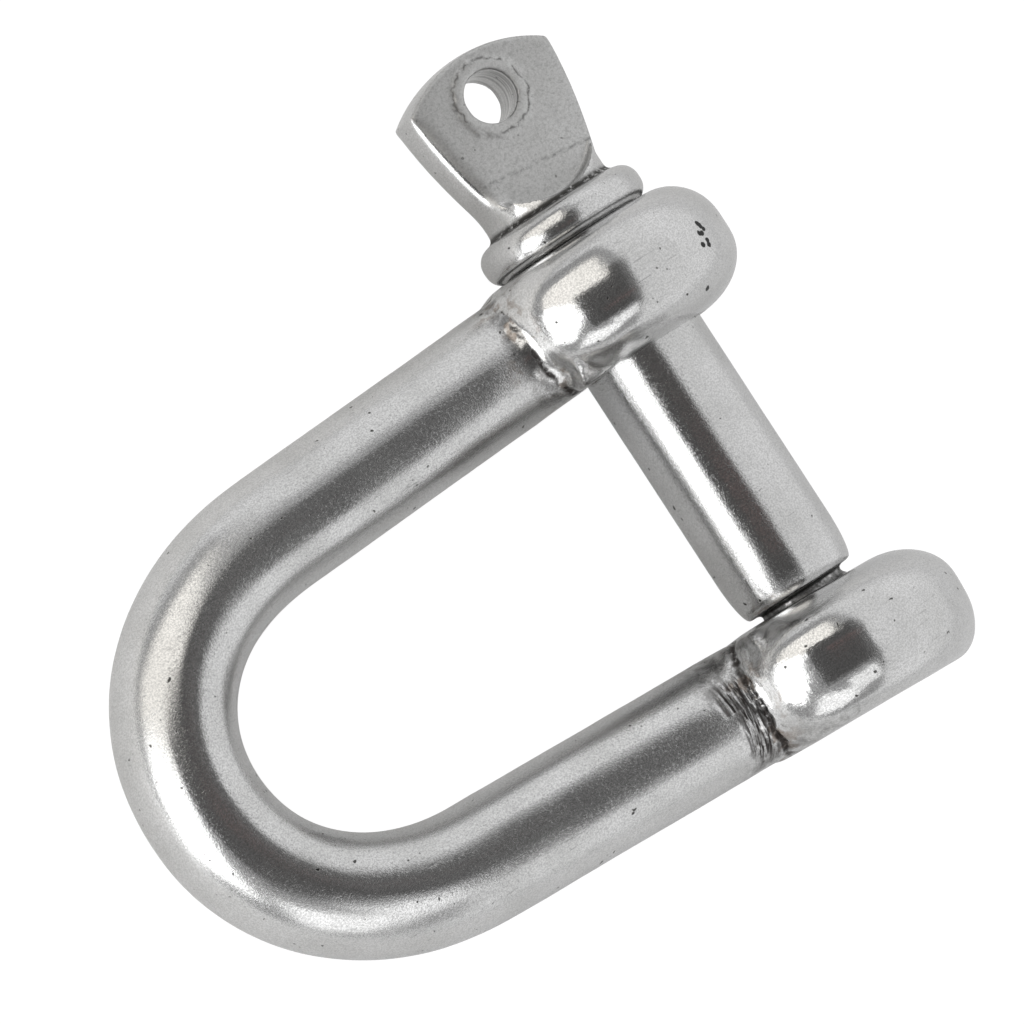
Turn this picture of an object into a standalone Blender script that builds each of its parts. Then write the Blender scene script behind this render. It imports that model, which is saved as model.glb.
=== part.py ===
"""D shackle with a screw collar pin, in metres, +Z up.

The shackle lies on its side, resting on the rims of its two eyes and on the bend of its bow.
X runs from the bow to the pin, Y along the pin towards its tab. The U is first drawn flat,
with the pin's axis on Y, and one empty then leans and lifts the whole shackle to its rest.
"""

import math

import bmesh
import bpy

MM = 0.001

# Bent bar
BAR_DIAMETER = 11.3 * MM
INSIDE_WIDTH = 26.4 * MM
INSIDE_LENGTH = 46.6 * MM
BOW_DEPTH = 19.0 * MM
BOW_FULLNESS = 0.575
LEG_SPLAY = math.radians(2.8)

# Forged eyes
EYE_DIAMETER = 25.0 * MM
EYE_THICKNESS = 11.7 * MM
EYE_OUTER_ROUND = 4.6 * MM
EYE_INNER_ROUND = 6.2 * MM
EYE_ROUND_DEPTH = 5.0 * MM
EYE_NECK_REACH = 3.2 * MM
EYE_NECK_RISE = 2.6 * MM
SPOT_FACE_DEPTH = 0.5 * MM

# Pin, from the thread to the tab
PIN_DIAMETER = 12.0 * MM
THREAD_DIAMETER = 9.4 * MM
THREAD_CHAMFER = 0.8 * MM
THREAD_RECESS = 0.5 * MM
SHOULDER_DIAMETER = 10.4 * MM
SHOULDER_LENGTH = 4.5 * MM
COLLAR_DIAMETER = 16.5 * MM
COLLAR_THICKNESS = 3.8 * MM
COLLAR_ROUND = 1.7 * MM
NECK_DIAMETER = 12.2 * MM
NECK_HEIGHT = 2.0 * MM
NECK_FILLET = 0.6 * MM
TAB_WIDTH = 16.2 * MM
TAB_THICKNESS = 5.3 * MM
TAB_TIP_HEIGHT = 13.2 * MM
TAB_HEIGHT = 15.9 * MM
TAB_HOLE_DIAMETER = 5.0 * MM
TAB_HOLE_HEIGHT = 11.2 * MM
TAB_RUNOUT_RADIUS = 7.4 * MM
TAB_RUNOUT_HEIGHT = 0.5 * MM
TAB_FLARE_POWER = 1.6

# Fits
BORE_CLEARANCE = 0.3 * MM
THREAD_CLEARANCE = 0.3 * MM
COLLAR_SEAT_GAP = 0.3 * MM
COLLAR_RIM_CLEARANCE = 0.3 * MM
SHOULDER_GAP = 0.3 * MM
CUT_MARGIN = 2.0 * MM
FLUSH_MARGIN = 0.2 * MM

# Facets
BAR_BEVEL_RESOLUTION = 10
BEND_STEPS = 14
TURN_STEPS = 48
ROUND_STEPS = 6
MERGE_DISTANCE = 0.00001
SMOOTH_ANGLE = math.radians(40)

# Places worked out from the sizes above, in the flat U
BAR_RADIUS = BAR_DIAMETER / 2
EYE_RADIUS = EYE_DIAMETER / 2
PIN_RADIUS = PIN_DIAMETER / 2
THREAD_RADIUS = THREAD_DIAMETER / 2
EYE_OFFSET = (INSIDE_WIDTH + EYE_THICKNESS) / 2
BOW_CENTRE = PIN_RADIUS + INSIDE_LENGTH + BAR_RADIUS
COLLAR_SEAT = EYE_OFFSET + EYE_THICKNESS / 2 - SPOT_FACE_DEPTH + COLLAR_SEAT_GAP
COLLAR_TOP = COLLAR_SEAT + COLLAR_THICKNESS
TAB_TOP = COLLAR_TOP + TAB_HEIGHT
CANT_RISE = SHOULDER_DIAMETER / 2 * math.tan(LEG_SPLAY)
SHOULDER_END = -(INSIDE_WIDTH / 2 - CANT_RISE - SHOULDER_GAP)
THREAD_END = -(EYE_OFFSET + EYE_THICKNESS / 2 - THREAD_RECESS)
LEAN = math.asin((EYE_RADIUS - BAR_RADIUS) / BOW_CENTRE)
BOW_REACH = BOW_CENTRE * math.cos(LEAN) + BAR_RADIUS
FAR_FACE = EYE_OFFSET + EYE_THICKNESS / 2 + (EYE_RADIUS - EYE_OUTER_ROUND) * math.sin(LEG_SPLAY)


def clear_scene():
    """Remove every object that the file starts with."""
    for obj in list(bpy.data.objects):
        bpy.data.objects.remove(obj, do_unlink=True)


def new_collection(name):
    """A collection linked to the scene."""
    collection = bpy.data.collections.new(name)
    bpy.context.scene.collection.children.link(collection)
    return collection


def steel(name, colour, roughness):
    """A Principled metal."""
    material = bpy.data.materials.new(name)
    material.use_nodes = True
    shader = material.node_tree.nodes["Principled BSDF"]
    shader.inputs["Base Color"].default_value = (*colour, 1.0)
    shader.inputs["Roughness"].default_value = roughness
    shader.inputs["Metallic"].default_value = 1.0
    return material


def place(obj, collection, parent, location=(0, 0, 0), rotation=(0, 0, 0)):
    """Link an object and set it under its parent."""
    collection.objects.link(obj)
    obj.parent = parent
    obj.location = location
    obj.rotation_euler = rotation
    return obj


def as_helper(obj):
    """A shape that only adds to or cuts from another."""
    obj.hide_render = True
    obj.display_type = "WIRE"
    return obj


def arc(centre, radii, start, end, steps=ROUND_STEPS):
    """Points of an elliptical arc in a profile's (radius, height) plane."""
    angles = [start + (end - start) * i / steps for i in range(steps + 1)]
    return [
        (centre[0] + radii[0] * math.cos(a), centre[1] + radii[1] * math.sin(a)) for a in angles
    ]


def turned(name, profile):
    """A solid of revolution about Z from a profile that runs down its outer side."""
    mesh = bpy.data.meshes.new(name)
    edges = [(i, i + 1) for i in range(len(profile) - 1)]
    mesh.from_pydata([(radius, 0, height) for radius, height in profile], edges, [])
    obj = bpy.data.objects.new(name, mesh)
    screw = obj.modifiers.new("turn", "SCREW")
    screw.steps = TURN_STEPS
    screw.render_steps = TURN_STEPS
    screw.use_merge_vertices = True
    screw.merge_threshold = MERGE_DISTANCE
    screw.use_smooth_shade = True
    return obj


def curve_mesh(curve_object):
    """A closed mesh of a filled curve, which the mesh object then replaces."""
    bpy.context.scene.collection.objects.link(curve_object)
    bpy.context.view_layer.update()
    evaluated = curve_object.evaluated_get(bpy.context.evaluated_depsgraph_get())
    mesh = bpy.data.meshes.new_from_object(evaluated)
    work = bmesh.new()
    work.from_mesh(mesh)
    bmesh.ops.remove_doubles(work, verts=work.verts, dist=MERGE_DISTANCE)
    bmesh.ops.recalc_face_normals(work, faces=work.faces)
    work.to_mesh(mesh)
    work.free()
    name = curve_object.name
    matrix = curve_object.matrix_world.copy()
    bpy.data.objects.remove(curve_object, do_unlink=True)
    obj = bpy.data.objects.new(name, mesh)
    obj.matrix_world = matrix
    return obj


def combine(obj, other, operation):
    """Add or cut another shape."""
    boolean = obj.modifiers.new(f"{operation.lower()} {other.name}", "BOOLEAN")
    boolean.operation = operation
    boolean.object = other


def bent_bar(name):
    """The round bar along its U: eye, leg, bow, leg, eye."""
    bend_x = BOW_DEPTH - BOW_CENTRE
    bend_y = EYE_OFFSET + bend_x * math.tan(LEG_SPLAY)
    along_leg = BOW_FULLNESS * BOW_DEPTH
    leg_handle = (-along_leg, -along_leg * math.tan(LEG_SPLAY))
    apex_handle = BOW_FULLNESS * bend_y
    knots = [
        ((0, EYE_OFFSET), (0, 0), (bend_x / 3, bend_x / 3 * math.tan(LEG_SPLAY))),
        ((bend_x, bend_y), (along_leg, along_leg * math.tan(LEG_SPLAY)), leg_handle),
        ((-BOW_CENTRE, 0), (0, apex_handle), (0, -apex_handle)),
    ]
    mirrored = [
        ((x, -y), (right[0], -right[1]), (left[0], -left[1]))
        for (x, y), left, right in reversed(knots[:-1])
    ]
    knots += mirrored
    data = bpy.data.curves.new(name, "CURVE")
    data.dimensions = "3D"
    data.twist_mode = "Z_UP"
    data.resolution_u = BEND_STEPS
    data.bevel_depth = BAR_RADIUS
    data.bevel_resolution = BAR_BEVEL_RESOLUTION
    data.use_fill_caps = True
    spline = data.splines.new("BEZIER")
    spline.bezier_points.add(len(knots) - 1)
    for point, ((x, y), left, right) in zip(spline.bezier_points, knots):
        point.handle_left_type = "FREE"
        point.handle_right_type = "FREE"
        point.co = (x, y, 0)
        point.handle_left = (x + left[0], y + left[1], 0)
        point.handle_right = (x + right[0], y + right[1], 0)
    return curve_mesh(bpy.data.objects.new(name, data))


def eye_profile(top_round, bottom_round):
    """Half section of an eye: flat faces run into a full, rounded rim."""
    half = EYE_THICKNESS / 2
    waist = half - EYE_ROUND_DEPTH
    upper = arc((EYE_RADIUS - top_round, waist), (top_round, EYE_ROUND_DEPTH), math.pi / 2, 0)
    lower = arc(
        (EYE_RADIUS - bottom_round, -waist), (bottom_round, EYE_ROUND_DEPTH), 0, -math.pi / 2
    )
    return [(0, half), *upper, *lower, (0, -half)]


def eye_neck_profile():
    """Half section of the flare that leads from the bar up on to an eye's rim, along the leg."""
    foot = math.sqrt(EYE_RADIUS**2 - BAR_RADIUS**2)
    flare = arc(
        (BAR_RADIUS + EYE_NECK_RISE - FLUSH_MARGIN, foot + EYE_NECK_REACH),
        (EYE_NECK_RISE, EYE_NECK_REACH + CUT_MARGIN),
        math.pi,
        1.5 * math.pi,
    )
    root = PIN_RADIUS / 2
    return [(0, flare[0][1]), *flare, (flare[-1][0], root), (0, root)]


def bore(name, radius, length):
    """A round cutter about Z, centred on its own origin."""
    half = length / 2
    return turned(name, [(0, half), (radius, half), (radius, -half), (0, -half)])


def plain_bore_profile():
    """Half section of the plain eye's cutter: a clear bore with a shallow seat for the collar."""
    half = EYE_THICKNESS / 2
    clear = half + CUT_MARGIN
    seat = half - SPOT_FACE_DEPTH
    seat_radius = COLLAR_DIAMETER / 2 + COLLAR_RIM_CLEARANCE
    bore_radius = PIN_RADIUS + BORE_CLEARANCE
    return [
        (0, clear),
        (seat_radius, clear),
        (seat_radius, seat),
        (bore_radius, seat),
        (bore_radius, -clear),
        (0, -clear),
    ]


def eye_neck(name, collection, parent, side):
    """The flare beside one eye, kept flush with the bar's inner and outer sides."""
    to_leg = math.pi / 2
    neck = turned(name, eye_neck_profile())
    place(
        as_helper(neck),
        collection,
        parent,
        (0, side * EYE_OFFSET, 0),
        (0, -to_leg, side * LEG_SPLAY),
    )
    bpy.ops.mesh.primitive_cube_add(size=1)
    slab = bpy.context.object
    slab.name = f"{name}_slab"
    for owner in list(slab.users_collection):
        owner.objects.unlink(slab)
    reach = 2 * EYE_DIAMETER
    slab.data.transform(
        ((reach, 0, 0, 0), (0, BAR_DIAMETER - FLUSH_MARGIN, 0, 0), (0, 0, reach, 0), (0, 0, 0, 1))
    )
    place(
        as_helper(slab),
        collection,
        parent,
        (0, side * EYE_OFFSET, 0),
        (0, 0, side * LEG_SPLAY),
    )
    combine(neck, slab, "INTERSECT")
    return neck


def shackle_body(parts, cutters, parent):
    """Bar, two eyes and their necks in one forging, bored along the pin's axis."""
    to_pin = -math.pi / 2
    body = bent_bar("shackle_body")
    place(body, parts, parent)
    near_eye = turned("plain_eye", eye_profile(EYE_OUTER_ROUND, EYE_INNER_ROUND))
    far_eye = turned("threaded_eye", eye_profile(EYE_INNER_ROUND, EYE_OUTER_ROUND))
    place(as_helper(near_eye), cutters, parent, (0, EYE_OFFSET, 0), (to_pin, 0, 0))
    place(as_helper(far_eye), cutters, parent, (0, -EYE_OFFSET, 0), (to_pin, 0, -LEG_SPLAY))
    half_step = math.pi / TURN_STEPS
    plain_bore = turned("plain_bore", plain_bore_profile())
    thread_radius = THREAD_RADIUS + THREAD_CLEARANCE
    thread_bore = bore("thread_bore", thread_radius, EYE_THICKNESS + 2 * CUT_MARGIN)
    place(as_helper(plain_bore), cutters, parent, (0, EYE_OFFSET, 0), (to_pin, half_step, 0))
    place(as_helper(thread_bore), cutters, parent, (0, -EYE_OFFSET, 0), (to_pin, half_step, 0))
    necks = [
        eye_neck("plain_eye_neck", cutters, parent, 1),
        eye_neck("threaded_eye_neck", cutters, parent, -1),
    ]
    for shape in (near_eye, far_eye, *necks):
        combine(body, shape, "UNION")
    for shape in (plain_bore, thread_bore):
        combine(body, shape, "DIFFERENCE")
    return body


def pin_profile():
    """Half section of the round pin blank, from the tab's crown down to the thread."""
    tip_radius = TAB_WIDTH / 2
    crown_drop = TAB_HEIGHT - TAB_TIP_HEIGHT
    crown_radius = (tip_radius**2 + crown_drop**2) / (2 * crown_drop)
    crown_angle = math.asin(tip_radius / crown_radius)
    crown = arc(
        (0, TAB_TOP - crown_radius),
        (crown_radius, crown_radius),
        math.pi / 2,
        math.pi / 2 - crown_angle,
    )
    neck_radius = NECK_DIAMETER / 2
    flare_height = TAB_TIP_HEIGHT - NECK_HEIGHT
    flare = [
        (
            tip_radius - (tip_radius - neck_radius) * (i / ROUND_STEPS) ** TAB_FLARE_POWER,
            COLLAR_TOP + TAB_TIP_HEIGHT - flare_height * i / ROUND_STEPS,
        )
        for i in range(1, ROUND_STEPS + 1)
    ]
    neck_foot = arc(
        (neck_radius + NECK_FILLET, COLLAR_TOP + NECK_FILLET),
        (NECK_FILLET, NECK_FILLET),
        math.pi,
        1.5 * math.pi,
        ROUND_STEPS // 2,
    )
    rim = COLLAR_DIAMETER / 2 - COLLAR_ROUND
    upper_rim = arc((rim, COLLAR_TOP - COLLAR_ROUND), (COLLAR_ROUND, COLLAR_ROUND), math.pi / 2, 0)
    lower_rim = arc(
        (rim, COLLAR_SEAT + COLLAR_ROUND), (COLLAR_ROUND, COLLAR_ROUND), 0, -math.pi / 2
    )
    shoulder_step = PIN_RADIUS - SHOULDER_DIAMETER / 2
    shoulder = arc(
        (SHOULDER_DIAMETER / 2, SHOULDER_END + SHOULDER_LENGTH),
        (shoulder_step, SHOULDER_LENGTH),
        0,
        -math.pi / 2,
    )
    return [
        *crown,
        *flare,
        *neck_foot,
        *upper_rim,
        *lower_rim,
        (PIN_RADIUS, COLLAR_SEAT),
        *shoulder,
        (THREAD_RADIUS, SHOULDER_END),
        (THREAD_RADIUS, THREAD_END + THREAD_CHAMFER),
        (THREAD_RADIUS - THREAD_CHAMFER, THREAD_END),
        (0, THREAD_END),
    ]


def tab_flat_cutter(name, cutters, pin, side):
    """A round-ended block that leaves one flat of the tab, with its run-out by the collar."""
    width = TAB_WIDTH / 2 + CUT_MARGIN
    middle = COLLAR_TOP + TAB_RUNOUT_HEIGHT + TAB_RUNOUT_RADIUS
    runout = arc((0, middle), (TAB_RUNOUT_RADIUS,) * 2, math.pi, 2 * math.pi, 4 * ROUND_STEPS)
    tips = COLLAR_TOP + TAB_TIP_HEIGHT
    top = TAB_TOP + CUT_MARGIN
    outline = [*runout, (width, tips), (width, top), (-width, top), (-width, tips)]
    depth = COLLAR_DIAMETER / 2
    data = bpy.data.curves.new(name, "CURVE")
    data.dimensions = "2D"
    data.fill_mode = "BOTH"
    data.extrude = depth / 2
    spline = data.splines.new("POLY")
    spline.points.add(len(outline) - 1)
    for point, (x, y) in zip(spline.points, outline):
        point.co = (x, y, 0, 1)
    spline.use_cyclic_u = True
    block = curve_mesh(bpy.data.objects.new(name, data))
    offset = side * (TAB_THICKNESS + depth) / 2
    return place(as_helper(block), cutters, pin, (0, offset, 0), (math.pi / 2, 0, 0))


def screw_pin(parts, cutters, parent):
    """One turned blank, flattened to a tab beyond its collar and drilled across."""
    pin = turned("screw_pin", pin_profile())
    place(pin, parts, parent, (0, 0, 0), (-math.pi / 2, 0, 0))
    for name, side in (("tab_flat_up", -1), ("tab_flat_down", 1)):
        combine(pin, tab_flat_cutter(name, cutters, pin, side), "DIFFERENCE")
    hole = bore("tab_hole", TAB_HOLE_DIAMETER / 2, TAB_THICKNESS + 2 * CUT_MARGIN)
    height = COLLAR_TOP + TAB_HOLE_HEIGHT
    place(as_helper(hole), cutters, pin, (0, 0, height), (math.pi / 2, 0, 0))
    combine(pin, hole, "DIFFERENCE")
    return pin


def main():
    clear_scene()
    parts = new_collection("d_shackle")
    cutters = new_collection("cutters")
    cutters.hide_render = True
    rest = bpy.data.objects.new("rest_frame", None)
    place(
        rest,
        parts,
        None,
        ((BOW_REACH - EYE_RADIUS) / 2, (FAR_FACE - TAB_TOP) / 2, EYE_RADIUS),
        (0, -LEAN, 0),
    )
    body = shackle_body(parts, cutters, rest)
    pin = screw_pin(parts, cutters, rest)
    body.data.materials.append(steel("polished_body_steel", (0.62, 0.62, 0.61), 0.22))
    pin.data.materials.append(steel("polished_pin_steel", (0.60, 0.60, 0.60), 0.25))
    for obj in (body, pin):
        obj.data.shade_smooth()
        obj.data.set_sharp_from_angle(angle=SMOOTH_ANGLE)


main()
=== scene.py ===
"""Dressed D shackle: a forged body and a screw pin, on a pale floor under soft studio light.

Both pieces are drawn in the flat U, with the pin's axis on Y and the bow towards -X, and are
then leaned and lifted to the rest that the frame holds. Lengths are in metres.
"""

import math
import random

import bpy
import numpy as np
from mathutils import Matrix, Vector, noise


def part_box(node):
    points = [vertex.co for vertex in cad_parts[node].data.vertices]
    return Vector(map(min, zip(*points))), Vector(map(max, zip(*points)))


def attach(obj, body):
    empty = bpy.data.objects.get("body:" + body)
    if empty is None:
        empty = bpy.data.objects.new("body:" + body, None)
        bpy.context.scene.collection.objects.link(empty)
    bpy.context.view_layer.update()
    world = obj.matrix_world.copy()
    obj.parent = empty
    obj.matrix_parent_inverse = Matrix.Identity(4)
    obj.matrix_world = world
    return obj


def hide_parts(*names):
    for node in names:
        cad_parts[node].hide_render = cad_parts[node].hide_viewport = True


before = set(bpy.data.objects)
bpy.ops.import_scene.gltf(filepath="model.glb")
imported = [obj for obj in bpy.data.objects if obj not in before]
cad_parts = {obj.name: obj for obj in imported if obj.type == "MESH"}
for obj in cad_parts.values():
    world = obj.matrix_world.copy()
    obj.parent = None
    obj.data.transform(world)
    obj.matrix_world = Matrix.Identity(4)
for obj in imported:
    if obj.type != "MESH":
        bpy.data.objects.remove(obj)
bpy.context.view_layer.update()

MM = 0.001

# Bent bar
BAR_RADIUS = 5.65 * MM
BOW_CENTRE = 58.25 * MM
BOW_DEPTH = 19.0 * MM
BOW_FULLNESS = 0.575
LEG_SPLAY = math.radians(2.8)

# Forged eyes
EYE_RADIUS = 12.5 * MM
EYE_THICKNESS = 11.7 * MM
EYE_OFFSET = 19.05 * MM
EYE_OUTER_ROUND = 4.6 * MM
EYE_INNER_ROUND = 6.2 * MM
FAR_EYE_OUTER_ROUND = 3.5 * MM
EYE_HOLES = (
    (6.77, 19.90, 10.46), (6.95, 19.60, 10.36), (7.08, 19.25, 10.26), (6.60, 19.00, 10.60),
    (6.30, 19.10, 10.76), (6.70, 18.20, 10.52), (6.60, 17.80, 10.55), (5.95, 18.05, 10.93),
    (4.63, 14.65, 9.46),
)
EYE_ROUND_DEPTH = 5.0 * MM
NECK_REACH = 3.2 * MM
NECK_RISE = 2.6 * MM
NECK_RUN = 2.0 * MM
SPOT_FACE_DEPTH = 0.5 * MM

# Pin
PIN_RADIUS = 6.0 * MM
BORE_RADIUS = 6.3 * MM
SHOULDER_RADIUS = 5.2 * MM
SHOULDER_LENGTH = 4.5 * MM
SHOULDER_END = -12.4 * MM
THREAD_END = -24.4 * MM
THREAD_CREST = 4.75 * MM
THREAD_ROOT = 4.1 * MM
THREAD_PITCH = 1.5 * MM
THREAD_CHAMFER = 0.8 * MM
EYE_THREAD_CREST = 5.0 * MM
EYE_THREAD_ROOT = 5.6 * MM
COLLAR_RADIUS = 8.25 * MM
COLLAR_ROUND = 1.7 * MM
COLLAR_SEAT = 24.7 * MM
COLLAR_TOP = 28.5 * MM
COLLAR_RIM_CLEARANCE = 0.3 * MM
NECK_RADIUS = 6.1 * MM
NECK_HEIGHT = 2.0 * MM
NECK_FILLET = 0.6 * MM
TAB_HALF_WIDTH = 8.1 * MM
TAB_HALF_THICKNESS = 2.65 * MM
TAB_TIP_HEIGHT = 13.2 * MM
TAB_HEIGHT = 15.9 * MM
TAB_FLARE_POWER = 1.6
TAB_RUNOUT_RADIUS = 7.4 * MM
TAB_RUNOUT_HEIGHT = 0.5 * MM
TAB_HOLE_RADIUS = 2.5 * MM
TAB_HOLE_HEIGHT = 11.2 * MM

# Surface
BODY_VOXEL = 0.4 * MM
PIN_VOXEL = 0.21 * MM
CREASE_WIDTH = 2.0 * MM
STAIN_WIDTH = 3.2 * MM
TURN_STEPS = 160
PIN_TURN_STEPS = 192
ROUND_STEPS = 20
CUT_MARGIN = 2 * MM
SAME_PLACE = 0.002 * MM
SLIVER = 0.01 * MM
SHARP_ANGLE = math.radians(40)
FORGING_WAVE, FORGING_WAVE_HEIGHT = 8 * MM, 0.12 * MM
TUMBLED_WAVE, TUMBLED_WAVE_HEIGHT = 3 * MM, 0.03 * MM

# Marks in the creases, by their distance from the pin's axis
MARKS_FROM, MARKS_TO = 8.5 * MM, 16.5 * MM
LEG_HALF_WIDTH = 7.2 * MM
CREASE_STARTS = -5 * MM
TEAR_ROWS = 4
TEAR_STEP = 0.45

# Deep holes on the plain eye's crown
HOLE_INNER, HOLE_OUTER, HOLE_WOBBLE = 0.40 * MM, 0.47 * MM, 0.30 * MM

# Lip round the tab's hole
LIP_STEPS = 90
LIP_WIDTH = 1.1 * MM
LIP_RISE = 0.16 * MM
LIP_DEPTH = 0.5 * MM
LIP_REACH = 4.4 * MM
LIP_EDGE = 3.5

# Steel
PIT_BLACK = (0.03, 0.028, 0.025, 1)
SCALE_BROWN = (0.14, 0.13, 0.12, 1)
RUST_BROWN = (0.20, 0.13, 0.08, 1)
# Painted shade along the creases beside the eyes
CREASE_SHADE_BLACK = (0.07, 0.065, 0.06, 1)
FOLD_BLACK = (0.035, 0.03, 0.028, 1)
LIP_BLACK = (0.05, 0.048, 0.045, 1)
# Near black for the corner by the collar and for the oil on the thread
DARK_CORNER_AND_OIL_BLACK = (0.02, 0.018, 0.015, 1)
ROUND_THE_BAR = (1.0, 0.10, 0.10)
ALONG_THE_HOLE = (0.04, 0.04, 1.0)
BUMP_DEPTH = 0.05 * MM

# Rest of the shackle on its side, from the frame
LEAN = math.asin((EYE_RADIUS - BAR_RADIUS) / BOW_CENTRE)
PIN_LOW, PIN_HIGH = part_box("screw_pin")
PIN_AXIS_X = (PIN_LOW.x + PIN_HIGH.x) / 2
PIN_AXIS_Z = EYE_RADIUS
PIN_MIDDLE_Y = PIN_HIGH.y - COLLAR_TOP - TAB_HEIGHT
REST = Matrix.Translation((PIN_AXIS_X, PIN_MIDDLE_Y, PIN_AXIS_Z)) @ Matrix.Rotation(-LEAN, 4, "Y")

# Camera, seen from the pin's middle
CAMERA_TILT = math.radians(21.5)
CAMERA_NOD = -0.0067
CAMERA_ROLL = 0.577
CAMERA_DISTANCE = 0.9
CAMERA_FOCUS = 10037.8
PICTURE_SIZE = 1024
PIN_MIDDLE_IN_PICTURE = (723.857, 474.152)
SENSOR = 36.0

# Light tent. Each panel has its place to the right of, above and in front of the pin's middle, its
# width and length, all in mm, then its colour, strength and turn in the picture
WHITE = (1.0, 1.0, 1.0)
CREAM = (1.0, 0.97, 0.92)
PINK = (1.0, 0.62, 0.58)
DIM = (1.0, 0.98, 0.97)
DIM_WING = (1.0, 0.99, 0.98)
UPRIGHT, WITH_LEGS = 0.0, math.degrees(CAMERA_ROLL)
LIGHT_PANELS = (
    ("main_softbox", -147, -100, 150, 150, 172, WHITE, 2.6, UPRIGHT),
    ("warm_side", -148, 67, 151, 223, 205, CREAM, 1.25, WITH_LEGS),
    ("lower_side", 41, -270, 151, 156, 272, WHITE, 1.45, UPRIGHT),
    ("lower_side_top", 102, -108, 150.5, 95, 108, WHITE, 1.2, WITH_LEGS),
    ("warm_streak", 20, 10, 147, 80, 4, PINK, 0.26, WITH_LEGS),
    ("tent_back", -234, -212, 156, 775, 1300, WHITE, 0.38, WITH_LEGS),
)
# These only show in reflections and leave the floor's light alone
DULL_PANELS = (
    ("camera_opening", 4, -8, 148, 134, 118, DIM, 0.09, WITH_LEGS),
    ("opening_corner", 2, 79, 148, 42, 40, DIM, 0.09, WITH_LEGS),
    ("wing_edge", 103, 35, 147.5, 94, 330, WHITE, 0.42, WITH_LEGS),
    ("opening_wing", 103, 35, 147, 90, 225, DIM_WING, 0.12, WITH_LEGS),
    ("pin_side_card", 47, 18, 36, 67, 110, WHITE, 0.82, WITH_LEGS),
)
TENT_LOW, TENT_HIGH, TENT_BLEND = 0.74, 0.85, 0.25
FLOOR_SIZE = 8
FLOOR_GREY = 0.80
FLOOR_ROUGHNESS = 0.9
FLOOR_GLOW, FLOOR_GLOW_SHARE = 1.10, 0.9


def deselect():
    if bpy.context.mode != "OBJECT":
        bpy.ops.object.mode_set(mode="OBJECT")
    bpy.ops.object.select_all(action="DESELECT")


def pick(obj):
    deselect()
    obj.select_set(True)
    bpy.context.view_layer.objects.active = obj


def edit_all(obj):
    pick(obj)
    bpy.ops.object.mode_set(mode="EDIT")
    bpy.ops.mesh.select_all(action="SELECT")


def close_up(obj):
    """Merge what lies together and turn every face outwards."""
    edit_all(obj)
    bpy.ops.mesh.remove_doubles(threshold=SAME_PLACE)
    bpy.ops.mesh.normals_make_consistent(inside=False)
    bpy.ops.object.mode_set(mode="OBJECT")


def clear_slivers(obj):
    """Take out the thin faces that cutting leaves along its seams."""
    edit_all(obj)
    bpy.ops.mesh.remove_doubles(threshold=SLIVER)
    bpy.ops.mesh.dissolve_degenerate(threshold=SLIVER)
    bpy.ops.mesh.normals_make_consistent(inside=False)
    bpy.ops.object.mode_set(mode="OBJECT")


def work(obj, name, kind, **settings):
    """Add one modifier and apply it."""
    pick(obj)
    modifier = obj.modifiers.new(name, kind)
    for key, value in settings.items():
        setattr(modifier, key, value)
    bpy.ops.object.modifier_apply(modifier=modifier.name)


def join_solid(obj, other, operation):
    """Weld another solid on, or cut it away, and drop the tool."""
    work(obj, f"{operation.lower()} {other.name}", "BOOLEAN", operation=operation,
         object=other, solver="EXACT")
    bpy.data.objects.remove(other, do_unlink=True)


def settle(obj, location=(0, 0, 0), rotation=(0, 0, 0)):
    """Put a shape in place and leave the place in its mesh."""
    pick(obj)
    obj.location = location
    obj.rotation_euler = rotation
    bpy.ops.object.transform_apply(location=True, rotation=True, scale=True)
    return obj


def arc(centre, radii, start, end, steps=ROUND_STEPS):
    angles = [start + (end - start) * i / steps for i in range(steps + 1)]
    (x, y), (across, up) = centre, radii
    return [(x + across * math.cos(a), y + up * math.sin(a)) for a in angles]


def draw_line(name, points):
    """One vertex, extruded from point to point in the plane of the U."""
    deselect()
    bpy.ops.mesh.primitive_plane_add(size=MM)
    line = bpy.context.object
    line.name = name
    bpy.ops.object.mode_set(mode="EDIT")
    bpy.ops.mesh.select_all(action="SELECT")
    bpy.ops.mesh.merge(type="CENTER")
    bpy.ops.transform.translate(value=(*points[0], 0))
    for (x0, y0), (x1, y1) in zip(points, points[1:]):
        step = (x1 - x0, y1 - y0, 0)
        bpy.ops.mesh.extrude_vertices_move(TRANSFORM_OT_translate={"value": step})
    return line


def turned(name, profile, steps=TURN_STEPS):
    """A solid turned about the pin's axis from a half section of (radius, place on the axis)."""
    blank = draw_line(name, profile)
    bpy.ops.mesh.select_all(action="SELECT")
    bpy.ops.mesh.spin(steps=steps, angle=2 * math.pi, center=(0, 0, 0), axis=(0, 1, 0))
    close_up(blank)
    return blank


def block_of(name, outline, low, high):
    """A flat outline in the plane of the U, raised into a block between two heights."""
    block = draw_line(name, outline)
    bpy.ops.mesh.select_all(action="SELECT")
    bpy.ops.mesh.edge_face_add()
    bpy.ops.transform.translate(value=(0, 0, low))
    bpy.ops.mesh.extrude_region_move(TRANSFORM_OT_translate={"value": (0, 0, high - low)})
    close_up(block)
    return block


def points_of(obj):
    places = np.empty(len(obj.data.vertices) * 3)
    obj.data.vertices.foreach_get("co", places)
    return places.reshape(-1, 3)


def put_points(obj, places):
    obj.data.vertices.foreach_set("co", np.ascontiguousarray(places, dtype=np.float32).ravel())
    obj.data.update()


def mark(obj, name, values):
    """Keep a value for every vertex, which a material reads by this name."""
    layer = obj.data.attributes.new(name, "FLOAT", "POINT")
    layer.data.foreach_set("value", np.clip(values, 0, 1).astype(np.float32))


def ramp(values, start, end):
    """Smooth step from 0 at start to 1 at end."""
    t = np.clip((values - start) / (end - start), 0, 1)
    return t * t * (3 - 2 * t)


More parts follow.
